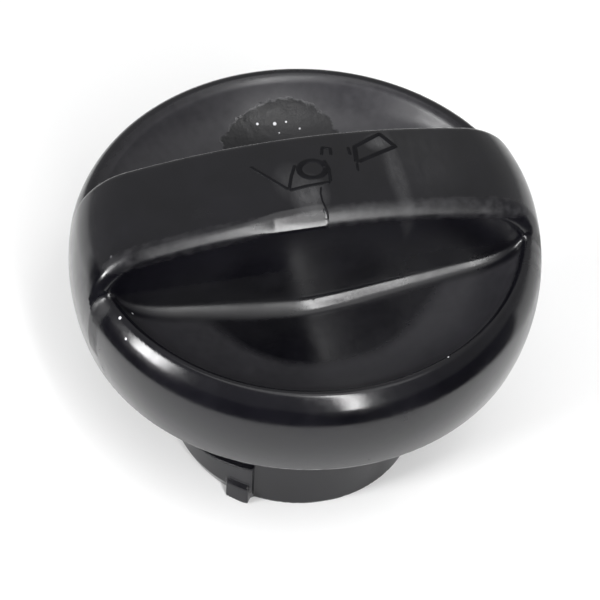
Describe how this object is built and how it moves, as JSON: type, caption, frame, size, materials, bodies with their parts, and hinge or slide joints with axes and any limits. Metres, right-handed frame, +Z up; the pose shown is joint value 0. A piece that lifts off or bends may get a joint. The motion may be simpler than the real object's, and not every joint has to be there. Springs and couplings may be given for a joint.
{
  "type": "oil filler cap",
  "caption": "Round black screw-in filler cap with an arched grip bar between two finger pockets, and a short bayonet neck with a rubber sealing ring.",
  "frame": {"origin": "middle of the neck's lower rim, on the surface the cap stands on", "axes": "+Z up along the neck's axis, +X along the grip bar, +Y towards the rear finger pocket"},
  "size_m": [0.062, 0.062, 0.0476],
  "materials": {
    "black_plastic": "gloss, lightly scuffed",
    "seal_rubber": "matte"
  },
  "bodies": {
    "root": {"cap_body": "black_plastic", "sealing_ring": "seal_rubber"}
  },
  "joints": []
}
